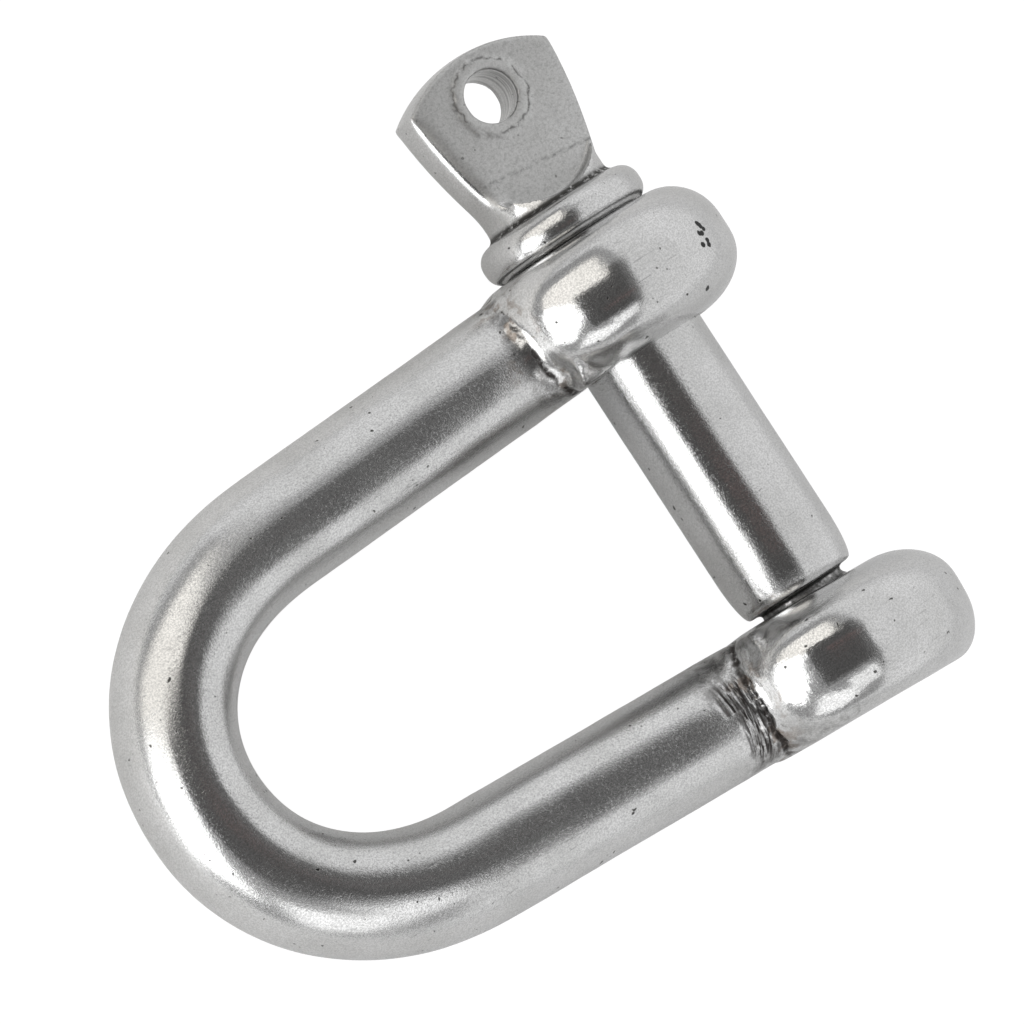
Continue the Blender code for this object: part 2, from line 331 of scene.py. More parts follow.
def bar_knots():
    bend_x = BOW_DEPTH - BOW_CENTRE
    splay = math.tan(LEG_SPLAY)
    bend_y = EYE_OFFSET + bend_x * splay
    along = BOW_FULLNESS * BOW_DEPTH
    apex = BOW_FULLNESS * bend_y
    upper = [
        ((0, EYE_OFFSET), (0, 0), (bend_x / 3, bend_x / 3 * splay)),
        ((bend_x, bend_y), (along, along * splay), (-along, -along * splay)),
    ]
    lower = [((x, -y), (b[0], -b[1]), (a[0], -a[1])) for (x, y), a, b in reversed(upper)]
    return [*upper, ((-BOW_CENTRE, 0), (0, apex), (0, -apex)), *lower]


def bent_bar():
    deselect()
    bpy.ops.curve.primitive_bezier_curve_add()
    bar = bpy.context.object
    bar.name = "bent_bar"
    bar.data.twist_mode = "Z_UP"
    bar.data.resolution_u = 48
    bar.data.bevel_depth = BAR_RADIUS
    bar.data.bevel_resolution = 24
    bar.data.use_fill_caps = True
    spline = bar.data.splines[0]
    knots = bar_knots()
    spline.bezier_points.add(len(knots) - 2)
    for point, ((x, y), left, right) in zip(spline.bezier_points, knots):
        point.handle_left_type = point.handle_right_type = "FREE"
        point.co = (x, y, 0)
        point.handle_left = (x + left[0], y + left[1], 0)
        point.handle_right = (x + right[0], y + right[1], 0)
    bpy.ops.object.convert(target="MESH")
    close_up(bar)
    return bar


def bar_line(count=600):
    """Points along the bar's centre line."""
    knots = bar_knots()
    found = []
    for (a, _, out), (b, into, _) in zip(knots, knots[1:]):
        a, b = np.array(a), np.array(b)
        c, d = a + np.array(out), b + np.array(into)
        t = np.linspace(0, 1, count // 4)[:, None]
        found.append((1 - t) ** 3 * a + 3 * t * (1 - t) ** 2 * c
                     + 3 * t * t * (1 - t) * d + t**3 * b)
    return np.concatenate(found)


def eye_profile(top_round, bottom_round):
    half = EYE_THICKNESS / 2
    waist = half - EYE_ROUND_DEPTH
    upper = arc((EYE_RADIUS - top_round, waist), (top_round, EYE_ROUND_DEPTH), math.pi / 2, 0)
    lower = arc((EYE_RADIUS - bottom_round, -waist), (bottom_round, EYE_ROUND_DEPTH),
                0, -math.pi / 2)
    return [(0, half), *upper, *lower, (0, -half)]


def eye_neck(side):
    """The flare that leads from a leg up on to its eye, flush with the leg's two sides."""
    foot = math.sqrt(EYE_RADIUS**2 - BAR_RADIUS**2)
    flush = 0.2 * MM
    flare = arc((BAR_RADIUS + NECK_RISE - flush, foot + NECK_REACH),
                (NECK_RISE, NECK_REACH + NECK_RUN), math.pi, 1.5 * math.pi)
    root = PIN_RADIUS / 2
    neck = turned("eye_neck", [(0, flare[0][1]), *flare, (flare[-1][0], root), (0, root)], 96)
    settle(neck, rotation=(0, 0, math.pi / 2))
    deselect()
    bpy.ops.mesh.primitive_cube_add(size=1, scale=(0.05, 2 * BAR_RADIUS - flush, 0.05))
    join_solid(neck, bpy.context.object, "INTERSECT")
    return settle(neck, (0, side * EYE_OFFSET, 0), (0, 0, side * LEG_SPLAY))


def to_eye(points, side):
    """Points seen from the middle of one eye, as (radius, place outwards along its axis)."""
    local = points - np.array((0, side * EYE_OFFSET, 0))
    turn = 0 if side > 0 else LEG_SPLAY
    x = local[:, 0] * math.cos(turn) - local[:, 1] * math.sin(turn)
    y = local[:, 0] * math.sin(turn) + local[:, 1] * math.cos(turn)
    return np.hypot(x, local[:, 2]), side * y


def eye_clearance(points, side):
    """Rough distance of points from one eye's skin, outwards positive."""
    radius, out = to_eye(points, side)
    rounds = np.where(out > 0, EYE_OUTER_ROUND, EYE_INNER_ROUND)
    waist = EYE_THICKNESS / 2 - EYE_ROUND_DEPTH
    a = np.maximum(radius - (EYE_RADIUS - rounds), 0) / rounds
    b = np.maximum(np.abs(out) - waist, 0) / EYE_ROUND_DEPTH
    return (np.hypot(a, b) - 1) * EYE_ROUND_DEPTH


def bar_clearance(points):
    """Distance of points from the bar's skin, outwards positive."""
    line = bar_line()
    found = np.empty(len(points))
    for start in range(0, len(points), 4000):
        part = points[start:start + 4000]
        flat = ((part[:, None, :2] - line[None]) ** 2).sum(2).min(1)
        found[start:start + 4000] = np.sqrt(flat + part[:, 2] ** 2)
    return found - BAR_RADIUS


def crease_of(points, width):
    """1 in the crease where a leg meets its eye, falling to 0 at this width."""
    bar = bar_clearance(points)
    near = np.zeros(len(points))
    for side in (1, -1):
        eye = eye_clearance(points, side)
        near = np.maximum(near, 1 - ramp(np.maximum(bar, eye), 0, width))
    return near * (points[:, 0] < -2 * MM)


def smooth_where(obj, weights, factor, rounds):
    group = obj.vertex_groups.new(name="soften")
    for level in range(1, 11):
        chosen = np.nonzero(np.ceil(weights * 10) == level)[0]
        if len(chosen):
            group.add(chosen.tolist(), level / 10, "REPLACE")
    work(obj, "soften", "SMOOTH", factor=factor, iterations=rounds, vertex_group="soften")
    obj.vertex_groups.clear()


def wavy(obj, name, scale, height, depth=1):
    """A slow unevenness, as a hand-polished forging has."""
    texture = bpy.data.textures.new(name, "CLOUDS")
    texture.noise_scale = scale
    texture.noise_depth = depth
    work(obj, name, "DISPLACE", texture=texture, texture_coords="LOCAL", direction="NORMAL",
         strength=height, mid_level=0.5)


def refine(obj, chosen):
    """Split the faces round the chosen vertices, for finer marks."""
    corners = np.empty(len(obj.data.loops), dtype=np.int64)
    obj.data.loops.foreach_get("vertex_index", corners)
    starts = np.empty(len(obj.data.polygons), dtype=np.int64)
    obj.data.polygons.foreach_get("loop_start", starts)
    edit_all(obj)
    bpy.ops.mesh.select_mode(type="FACE")
    bpy.ops.mesh.select_all(action="DESELECT")
    bpy.ops.object.mode_set(mode="OBJECT")
    obj.data.polygons.foreach_set("select", np.maximum.reduceat(chosen[corners], starts))
    bpy.ops.object.mode_set(mode="EDIT")
    bpy.ops.mesh.subdivide(number_cuts=1, smoothness=0.0)
    bpy.ops.mesh.select_mode(type="VERT")
    bpy.ops.object.mode_set(mode="OBJECT")


def normals_of(obj):
    ways = np.empty(len(obj.data.vertices) * 3)
    obj.data.vertices.foreach_get("normal", ways)
    return ways.reshape(-1, 3)


def ragged(points, size, seed):
    """Smooth random value from -1 to 1 at each point, with features of about this size."""
    shift = Vector((seed * 17.3, seed * 5.1, seed * 9.7))
    return np.array([noise.noise(Vector(p) / size + shift) for p in points])


def hollow(values, centre, width):
    return np.exp(-(((values - centre) / width) ** 2))


def helix_cutter(name, crest, root, low, high):
    """A V-shaped screw thread, as the solid that fills its groove."""
    half = 0.42 * THREAD_PITCH
    deep, wide = (root, crest) if root < crest else (crest, root)
    inward = root < crest
    tip, mouth = (deep, wide + 0.5 * MM) if inward else (wide, deep - 0.5 * MM)
    profile = [(tip, low - 0.1 * half), (tip, low + 0.1 * half), (mouth, low + half * 1.3),
               (mouth, low - half * 1.3)]
    groove = draw_line(name, profile)
    bpy.ops.mesh.select_all(action="SELECT")
    bpy.ops.mesh.edge_face_add()
    bpy.ops.mesh.delete(type="ONLY_FACE")
    bpy.ops.object.mode_set(mode="OBJECT")
    turns = math.ceil((high - low) / THREAD_PITCH)
    work(groove, "wind", "SCREW", axis="Y", steps=64, render_steps=64,
         screw_offset=THREAD_PITCH, iterations=turns, use_merge_vertices=False)
    edit_all(groove)
    bpy.ops.mesh.select_all(action="DESELECT")
    bpy.ops.mesh.select_non_manifold()
    bpy.ops.mesh.fill()
    close_up(groove)
    return groove


def near_crease(points, side, low, high):
    """The leg's end beside one eye, between two distances from the pin's axis."""
    radius, _ = to_eye(points, side)
    beside = np.abs(points[:, 1] - side * EYE_OFFSET) < LEG_HALF_WIDTH
    return beside & (points[:, 0] < CREASE_STARTS) & (radius > low) & (radius < high)


def torn_marks(points):
    """What forging left where the legs enter the eyes: depth, darkness and the streaked zone."""
    depth, dark, streaked = np.zeros((3, len(points)))
    for side in (-1, 1):
        chosen = np.nonzero(near_crease(points, side, MARKS_FROM, MARKS_TO))[0]
        part = points[chosen]
        from_bar, from_eye = bar_clearance(part), eye_clearance(part, side)
        corner = np.maximum(from_bar, from_eye)
        on_leg = ramp(from_eye, 0.2 * MM, 0.7 * MM)
        slow, quick = ragged(part, 2.2 * MM, 1 + side), ragged(part, 0.55 * MM, 4 + side)
        across = from_bar - from_eye
        inside = 1 - ramp(corner, 1.3 * MM, 2.2 * MM)
        fold = hollow(across, (0.3 * slow + 0.1 * quick) * MM, 0.34 * MM) * inside
        if side < 0:
            # the lower eye: a deep fold, and rows of tears on the leg beside it
            tears = np.zeros(len(part))
            from_middle = np.abs(part[:, 1] + EYE_OFFSET + 0.4 * MM)
            fade = (1 - ramp(from_middle, 3.0 * MM, 5.0 * MM)) * on_leg
            for row in range(TEAR_ROWS):
                sway = ragged(part, 4.0 * MM, 11 + row) + 0.2 * quick
                tear = (1.1 + TEAR_STEP * row + 0.25 * sway) * MM
                open_here = ramp(ragged(part, 3.4 * MM, 31 + row), -0.25, 0.10)
                tears = np.maximum(tears, hollow(from_eye, tear, 0.16 * MM) * open_here * fade)
            found = (0.32 * fold * (1 + 0.4 * quick) + 0.07 * tears) * MM
            shade = np.maximum(fold * (0.75 + 0.5 * slow), 0.6 * tears)
            streaked[chosen] = fade * (1 - ramp(from_eye, 1.9 * MM, 2.9 * MM))
        else:
            # the upper eye: a shallow fold that comes and goes
            fold *= ramp(slow + 0.6 * quick, -0.2, 0.4)
            found = 0.02 * fold * MM
            shade = 0.85 * fold
        depth[chosen] = np.maximum(depth[chosen], found)
        dark[chosen] = np.maximum(dark[chosen], shade)
    return depth, dark, streaked


def carve_marks(body):
    """Refine the creases on the upper side, sink the folds and tears, and mark the band of painted
    shade along the creases.
    """
    points = points_of(body)
    lower = near_crease(points, -1, 9 * MM, MARKS_TO)
    upper = near_crease(points, 1, 9.5 * MM, 15.5 * MM)
    refine(body, (lower | upper) & (points[:, 2] > -2.5 * MM))
    points = points_of(body)
    refine(body, near_crease(points, -1, 10 * MM, 15.5 * MM) & (points[:, 2] > 0))
    points = points_of(body)
    depth, dark, streaked = torn_marks(points)
    put_points(body, points - normals_of(body) * depth[:, None])
    mark(body, "torn", dark)
    mark(body, "streaked", streaked)
    # Painted shade: a band on each leg along the crease beside its eye, which the material darkens
    # in blotches
    crease_shade = np.zeros(len(points))
    for side, near, far, most in ((-1, 2.4 * MM, 4.2 * MM, 1.0), (1, 0.9 * MM, 2.0 * MM, 0.9)):
        chosen = np.nonzero(near_crease(points, side, MARKS_FROM, MARKS_TO))[0]
        beside = eye_clearance(points[chosen], side)
        crease_shade[chosen] = most * ramp(beside, 0.0, 0.5 * MM) * (1 - ramp(beside, near, far))
    mark(body, "crease_shade", crease_shade)


def plain_bore():
    """The plain eye's bore, with a broken edge inside and a shallow seat for the collar."""
    half = EYE_THICKNESS / 2
    clear = half + CUT_MARGIN
    seat = half - SPOT_FACE_DEPTH
    seat_radius = COLLAR_RADIUS + COLLAR_RIM_CLEARANCE
    edge = 0.5 * MM
    tool = turned("plain_bore", [
        (0, clear), (seat_radius + 0.2 * MM, clear), (seat_radius, half), (seat_radius, seat),
        (BORE_RADIUS, seat), (BORE_RADIUS, -half + edge), (BORE_RADIUS + edge, -half),
        (BORE_RADIUS + edge, -clear), (0, -clear)])
    return settle(tool, (0, EYE_OFFSET, 0))


def thread_bore():
    """The tapped eye's bore down to its thread's crest, widened at both mouths."""
    half = EYE_THICKNESS / 2 + CUT_MARGIN
    mouth = half - 1.4 * MM
    inside = mouth - 0.9 * MM
    wide = EYE_THREAD_ROOT + 0.3 * MM
    tool = turned("thread_bore", [
        (0, half), (wide, half), (wide, mouth), (EYE_THREAD_CREST, inside),
        (EYE_THREAD_CREST, -inside), (wide, -mouth), (wide, -half), (0, -half)])
    return settle(tool, (0, -EYE_OFFSET, 0))


def shackle_body():
    body = bent_bar()
    body.name = "forged_body"
    near_eye = turned("plain_eye", eye_profile(EYE_OUTER_ROUND, EYE_INNER_ROUND))
    settle(near_eye, (0, EYE_OFFSET, 0))
    far_eye = turned("threaded_eye", eye_profile(EYE_INNER_ROUND, FAR_EYE_OUTER_ROUND))
    settle(far_eye, (0, -EYE_OFFSET, 0), (0, 0, -LEG_SPLAY))
    for lump in (near_eye, far_eye, eye_neck(1), eye_neck(-1)):
        join_solid(body, lump, "UNION")
    work(body, "skin", "REMESH", mode="VOXEL", voxel_size=BODY_VOXEL, use_smooth_shade=True)
    smooth_where(body, crease_of(points_of(body), CREASE_WIDTH), 0.5, 16)
    work(body, "even", "SMOOTH", factor=0.5, iterations=6)
    wavy(body, "forging_waves", FORGING_WAVE, FORGING_WAVE_HEIGHT)
    carve_marks(body)
    join_solid(body, plain_bore(), "DIFFERENCE")
    join_solid(body, thread_bore(), "DIFFERENCE")
    groove = helix_cutter("eye_thread", EYE_THREAD_CREST, EYE_THREAD_ROOT,
                          -EYE_OFFSET - 7 * MM, -EYE_OFFSET + 7 * MM)
    join_solid(body, groove, "DIFFERENCE")
    clear_slivers(body)
    points = points_of(body)
    mark(body, "crease", crease_of(points, STAIN_WIDTH))
    rims = np.minimum(eye_clearance(points, 1), eye_clearance(points, -1))
    mark(body, "eye_polish", 1 - ramp(rims, 0.5 * MM, 1.3 * MM))
    return body


def pin_profile():
    """Half section of the turned pin, from the tab's crown down to the thread."""
    drop = TAB_HEIGHT - TAB_TIP_HEIGHT
    crown = (TAB_HALF_WIDTH**2 + drop**2) / (2 * drop)
    tilt = math.asin(TAB_HALF_WIDTH / crown)
    top = COLLAR_TOP + TAB_HEIGHT
    crown_arc = arc((0, top - crown), (crown, crown), math.pi / 2, math.pi / 2 - tilt)
    flare_height = TAB_TIP_HEIGHT - NECK_HEIGHT
    flare = [
        (TAB_HALF_WIDTH - (TAB_HALF_WIDTH - NECK_RADIUS) * (i / ROUND_STEPS) ** TAB_FLARE_POWER,
         COLLAR_TOP + TAB_TIP_HEIGHT - flare_height * i / ROUND_STEPS)
        for i in range(1, ROUND_STEPS + 1)
    ]
    foot = arc((NECK_RADIUS + NECK_FILLET, COLLAR_TOP + NECK_FILLET), (NECK_FILLET,) * 2,
               math.pi, 1.5 * math.pi, 8)
    rim = COLLAR_RADIUS - COLLAR_ROUND
    upper_rim = arc((rim, COLLAR_TOP - COLLAR_ROUND), (COLLAR_ROUND,) * 2, math.pi / 2, 0)
    lower_rim = arc((rim, COLLAR_SEAT + COLLAR_ROUND), (COLLAR_ROUND,) * 2, 0, -math.pi / 2)
    step = PIN_RADIUS - SHOULDER_RADIUS
    shoulder = arc((SHOULDER_RADIUS, SHOULDER_END + SHOULDER_LENGTH), (step, SHOULDER_LENGTH),
                   0, -math.pi / 2)
    return [
        *crown_arc, *flare, *foot, *upper_rim, *lower_rim, (PIN_RADIUS, COLLAR_SEAT), *shoulder,
        (THREAD_ROOT, SHOULDER_END), (THREAD_ROOT, SHOULDER_END - 0.6 * MM),
        (THREAD_CREST, SHOULDER_END - 1.2 * MM), (THREAD_CREST, THREAD_END + THREAD_CHAMFER),
        (THREAD_CREST - THREAD_CHAMFER, THREAD_END), (0, THREAD_END),
    ]


def tab_flat_cutter(side):
    """A round-ended block that leaves one flat of the tab, with its run-out by the collar."""
    width = TAB_HALF_WIDTH + CUT_MARGIN
    middle = COLLAR_TOP + TAB_RUNOUT_HEIGHT + TAB_RUNOUT_RADIUS
    runout = arc((0, middle), (TAB_RUNOUT_RADIUS,) * 2, math.pi, 2 * math.pi, 48)
    tips = COLLAR_TOP + TAB_TIP_HEIGHT
    top = COLLAR_TOP + TAB_HEIGHT + CUT_MARGIN
    outline = [*runout, (width, tips), (width, top), (-width, top), (-width, tips)]
    low, high = sorted((side * TAB_HALF_THICKNESS, side * 2 * COLLAR_RADIUS))
    return block_of("tab_flat", outline, low, high)


def burr_ring(side, seed):
    """The ragged lip that drilling raised round the tab's hole."""
    dice = random.Random(seed)
    deselect()
    bpy.ops.mesh.primitive_circle_add(vertices=LIP_STEPS, radius=TAB_HOLE_RADIUS + LIP_WIDTH)
    ring = bpy.context.object
    ring.name = "burr_ring"
    places = points_of(ring)
    swell = 0.0
    for i in range(LIP_STEPS):
        swell = 0.6 * swell + dice.uniform(-0.12, 0.12)
        places[i] *= 1 + 0.55 * swell
    put_points(ring, places)
    edit_all(ring)
    bpy.ops.mesh.edge_face_add()
    bpy.ops.mesh.extrude_region_move(TRANSFORM_OT_translate={"value": (0, 0, LIP_DEPTH)})
    close_up(ring)
    height = TAB_HALF_THICKNESS - LIP_DEPTH + LIP_RISE
    low = height if side > 0 else -height - LIP_DEPTH
    return settle(ring, (0, COLLAR_TOP + TAB_HOLE_HEIGHT, low))


def tab_shoulder(points):
    """1 along the edge between the tab's flats and its turned side, where it is worn round."""
    rise, radius = np.array([(y, r) for r, y in pin_profile() if y > COLLAR_TOP]).T
    order = np.argsort(rise)
    x, y, z = points.T
    turned_radius = np.interp(y, rise[order], radius[order])
    edge = -np.sqrt(np.maximum(turned_radius**2 - TAB_HALF_THICKNESS**2, 0))
    away = np.hypot(x - edge, np.abs(z) - TAB_HALF_THICKNESS)
    above = ramp(y, COLLAR_TOP + 1.2 * MM, COLLAR_TOP + 2.0 * MM)
    below_tip = 1 - ramp(y, COLLAR_TOP + TAB_TIP_HEIGHT - 1.2 * MM, COLLAR_TOP + TAB_TIP_HEIGHT)
    return above * below_tip * (1 - ramp(away, 0.9 * MM, 1.8 * MM))


def screw_pin():
    pin = turned("turned_pin", pin_profile(), PIN_TURN_STEPS)
    for side in (1, -1):
        join_solid(pin, tab_flat_cutter(side), "DIFFERENCE")
        join_solid(pin, burr_ring(side, 7 + side), "UNION")
    deselect()
    bpy.ops.mesh.primitive_cylinder_add(vertices=96, radius=TAB_HOLE_RADIUS, depth=0.02,
                                        location=(0, COLLAR_TOP + TAB_HOLE_HEIGHT, 0))
    drill = bpy.context.object
    join_solid(pin, settle(drill, drill.location.copy()), "DIFFERENCE")
    groove = helix_cutter("pin_thread", THREAD_CREST, THREAD_ROOT,
                          THREAD_END - CUT_MARGIN, SHOULDER_END - 1.0 * MM)
    join_solid(pin, groove, "DIFFERENCE")
    work(pin, "skin", "REMESH", mode="VOXEL", voxel_size=PIN_VOXEL, use_smooth_shade=True)
    work(pin, "even", "SMOOTH", factor=0.5, iterations=4)
    smooth_where(pin, tab_shoulder(points_of(pin)), 0.5, 150)
    wavy(pin, "tumbled_waves", TUMBLED_WAVE, TUMBLED_WAVE_HEIGHT)
    points = points_of(pin)
    near_hole = np.hypot(points[:, 0], points[:, 1] - COLLAR_TOP - TAB_HOLE_HEIGHT) < LIP_REACH
    refine(pin, near_hole & (points[:, 2] > TAB_HALF_THICKNESS - 0.3 * MM))
    mark_pin(pin)
    return pin


def mark_pin(pin):
    """Mark the tab's flats, hole and lip, the tool's line, the darkened corner by the collar, and
    the oil on the thread.
    """
    points = points_of(pin)
    x, y, z = points.T
    beyond = ramp(y, COLLAR_TOP + 0.3 * MM, COLLAR_TOP + 0.6 * MM)
    flat = 1 - ramp(np.abs(np.abs(z) - TAB_HALF_THICKNESS), 0.18 * MM, 0.3 * MM)
    mark(pin, "tab_flat", beyond * flat)
    hole = np.hypot(x, y - COLLAR_TOP - TAB_HOLE_HEIGHT)
    wall = 1 - ramp(hole, TAB_HOLE_RADIUS, TAB_HOLE_RADIUS + 0.25 * MM)
    mark(pin, "hole_wall", beyond * wall)
    edge = np.full(len(points), 9.0)
    chosen = np.nonzero(hole < LIP_REACH)[0]
    part = points[chosen]
    sway = 0.3 * ragged(part, 1.3 * MM, 3) + 0.22 * ragged(part, 0.5 * MM, 5)
    edge[chosen] = hole[chosen] / MM - LIP_EDGE - sway
    mark(pin, "burr", beyond * flat * hollow(edge, 0.0, 0.13))
    mark(pin, "smear", beyond * flat * (1 - ramp(edge, -0.1, 0.05)))
    line = y - COLLAR_TOP - 4.0 * MM + 0.12 * x
    mark(pin, "tool_line", beyond * flat * hollow(line, 0.0, 0.12 * MM))
    # Darker in the corner where the tab's neck meets the collar
    foot = np.hypot(np.hypot(x, z) - NECK_RADIUS - 0.25 * MM, y - COLLAR_TOP - 0.2 * MM)
    mark(pin, "collar_corner_dark", 1 - ramp(foot, 0.2 * MM, 0.65 * MM))
    below = SHOULDER_END - y
    first_turns = 1 - ramp(below, 1.5 * MM, 3.0 * MM)
    mark(pin, "thread", ramp(below, -0.3 * MM, 0.3 * MM) * first_turns)


# Materials

def grey(level):
    return (level, level, level, 1)


def socket(group, name, kind, way, value=None):
    made = group.interface.new_socket(name=name, in_out=way, socket_type=f"NodeSocket{kind}")
    if value is not None:
        made.default_value = value


class Board:
    """Short hand for laying out nodes in one tree."""

    def __init__(self, tree):
        self.tree = tree
        self.nodes = tree.nodes
        self.links = tree.links

    def add(self, kind, inputs=None, **settings):
        node = self.nodes.new(kind)
        for key, value in settings.items():
            setattr(node, key, value)
        for key, value in (inputs or {}).items():
            if isinstance(value, bpy.types.NodeSocket):
                self.links.new(value, node.inputs[key])
            else:
                node.inputs[key].default_value = value
        return node

    def math(self, operation, a, b=0.0, clamp=False):
        node = self.add("ShaderNodeMath", {0: a, 1: b}, operation=operation, use_clamp=clamp)
        return node.outputs[0]

    def times(self, a, b):
        return self.math("MULTIPLY", a, b)

    def step(self, value, low, high, to_low=0.0, to_high=1.0):
        node = self.add("ShaderNodeMapRange", {"Value": value, "From Min": low, "From Max": high,
                                              "To Min": to_low, "To Max": to_high},
                        interpolation_type="SMOOTHSTEP")
        return node.outputs["Result"]

    def mix(self, factor, a, b):
        node = self.add("ShaderNodeMix", {"Factor": factor}, data_type="RGBA")
        for index, value in ((6, a), (7, b)):
            if isinstance(value, bpy.types.NodeSocket):
                self.links.new(value, node.inputs[index])
            else:
                node.inputs[index].default_value = value
        return node.outputs[2]

    def stain(self, base, mask, amount, colour):
        """Lay a colour over the base where the mask is, up to this amount."""
        return self.mix(self.times(mask, amount), base, colour)

    def noise(self, vector, scale, detail=2.0, roughness=0.5):
        node = self.add("ShaderNodeTexNoise", {"Vector": vector, "Scale": scale, "Detail": detail,
                                              "Roughness": roughness})
        return node.outputs["Fac"]

    def attribute(self, name):
        return self.add("ShaderNodeAttribute", attribute_name=name).outputs["Fac"]


def worn_steel_group():
    """Grain, pits, scratches and slow cloudiness of worked stainless steel."""
    group = bpy.data.node_groups.new("worn_steel", "ShaderNodeTree")
    socket(group, "Vector", "Vector", "INPUT")
    socket(group, "Grain Scale", "Float", "INPUT", 6500.0)
    socket(group, "Pit Scale", "Float", "INPUT", 1500.0)
    for name in ("Grain", "Pepper", "Pits", "Scratches", "Cloud", "Height"):
        socket(group, name, "Float", "OUTPUT")
    board = Board(group)
    given = board.add("NodeGroupInput").outputs
    place = given["Vector"]
    grain = board.noise(place, given["Grain Scale"], 2.0, 0.6)
    pepper = board.step(board.noise(place, 3600.0, 3.0, 0.8), 0.52, 0.70)
    cloud = board.noise(place, 160.0, 3.0, 0.55)
    spots = board.noise(place, given["Pit Scale"], 1.0, 0.5)
    gathered = board.step(board.noise(place, 330.0, 2.0, 0.5), 0.40, 0.70, 0.79, 0.70)
    pits = board.step(board.math("SUBTRACT", spots, gathered), 0.0, 0.04)
    turned_way = board.add("ShaderNodeMapping", {"Vector": place, "Rotation": (0.3, 0.2, 0.9),
                                                "Scale": (1.0, 14.0, 6.0)}).outputs[0]
    streaks = board.noise(turned_way, 260.0, 2.0, 0.5)
    scratches = board.times(board.step(streaks, 0.66, 0.72), board.step(cloud, 0.45, 0.6))
    height = board.math("SUBTRACT", board.times(grain, 0.5), pits)
    height = board.math("SUBTRACT", height, board.times(pepper, 0.25))
    height = board.math("SUBTRACT", height, board.times(scratches, 0.3))
    board.add("NodeGroupOutput", {"Grain": grain, "Pepper": pepper, "Pits": pits,
                                  "Scratches": scratches, "Cloud": cloud, "Height": height})
    return group


def steel_board(name, group):
    material = bpy.data.materials.new(name)
    material.use_nodes = True
    board = Board(material.node_tree)
    shader = board.nodes["Principled BSDF"]
    shader.inputs["Metallic"].default_value = 1.0
    place = board.add("ShaderNodeTexCoord").outputs["Object"]
    wear = board.add("ShaderNodeGroup", {"Vector": place}, node_tree=group)
    return material, board, shader, place, wear


def bare_steel(board, out, light, dark):
    """Steel that clouds from light to dark, with pepper, scratches and black pits."""
    steel = board.mix(board.step(out["Cloud"], 0.3, 0.7), light, dark)
    steel = board.mix(board.step(out["Grain"], 0.36, 0.64, 0.0, 0.42), steel, grey(0.34))
    steel = board.stain(steel, out["Pepper"], 0.25, grey(0.24))
    steel = board.stain(steel, out["Scratches"], 0.25, grey(0.15))
    return board.stain(steel, out["Pits"], 0.9, PIT_BLACK)


def black_holes(board, place):
    """The few deep holes on the crown of the plain eye, as short rows of round spots."""
    wobble = board.times(board.noise(place, 2400.0, 2.0, 0.6), HOLE_WOBBLE)
    found = None
    for spot in EYE_HOLES:
        middle = tuple(REST @ (Vector(spot) * MM))
        away = board.add("ShaderNodeVectorMath", {0: place, 1: middle}, operation="DISTANCE")
        reach = board.math("ADD", away.outputs["Value"], wobble)
        hole = board.step(reach, HOLE_INNER, HOLE_OUTER, 1.0, 0.0)
        found = hole if found is None else board.math("MAXIMUM", found, hole)
    return found


def body_steel(group):
    """Polished forging, with dark folds and brown scale left in the creases by the eyes, and
    painted shade in blotches along those creases.
    """
    material, board, shader, place, wear = steel_board("polished_forging", group)
    out = wear.outputs
    crease, torn, crease_shade, polish, streaked = (
        board.attribute(name) for name in ("crease", "torn", "crease_shade", "eye_polish", "streaked"))
    broken = board.noise(place, 1900.0, 4.0, 0.7)
    scale = board.times(crease, board.step(broken, 0.52, 0.66))
    rust = board.times(crease, board.step(board.noise(place, 520.0, 3.0, 0.6), 0.53, 0.62))
    # Painted shade: near-black blotches along the creases beside the eyes
    blotched_crease_shade = board.times(crease_shade, board.step(board.noise(place, 620.0, 4.0, 0.7), 0.40, 0.62))
    folds = board.times(board.step(torn, 0.15, 0.75), board.step(broken, 0.26, 0.50))
    drawn = board.add("ShaderNodeMapping", {"Vector": place, "Scale": ROUND_THE_BAR}).outputs[0]
    lines = board.step(board.noise(drawn, 3600.0, 3.0, 0.65), 0.46, 0.55)
    folds = board.math("MAXIMUM", folds, board.times(lines, streaked))
    steel = bare_steel(board, out, grey(0.80), (0.70, 0.70, 0.695, 1))
    steel = board.stain(steel, scale, 0.6, SCALE_BROWN)
    steel = board.stain(steel, rust, 0.6, RUST_BROWN)
    # painted shade along the creases
    steel = board.stain(steel, blotched_crease_shade, 0.6, CREASE_SHADE_BLACK)
    steel = board.stain(steel, folds, 0.95, FOLD_BLACK)
    steel = board.stain(steel, black_holes(board, place), 0.95, grey(0.012))
    board.links.new(steel, shader.inputs["Base Color"])
    rough = board.step(out["Cloud"], 0.25, 0.75, 0.15, 0.22)
    rough = board.math("SUBTRACT", rough, board.times(polish, 0.06))
    rough = board.math("ADD", rough, board.times(scale, 0.15), clamp=True)
    rough = board.math("ADD", rough, board.times(folds, 0.35), clamp=True)
    board.links.new(rough, shader.inputs["Roughness"])
    height = board.math("SUBTRACT", out["Height"], board.times(scale, 0.2))
    height = board.times(height, board.step(polish, 0.0, 1.0, 1.0, 0.45))
    bump = board.add("ShaderNodeBump",
                     {"Height": height, "Strength": 0.4, "Distance": BUMP_DEPTH})
    board.links.new(bump.outputs[0], shader.inputs["Normal"])
    return material


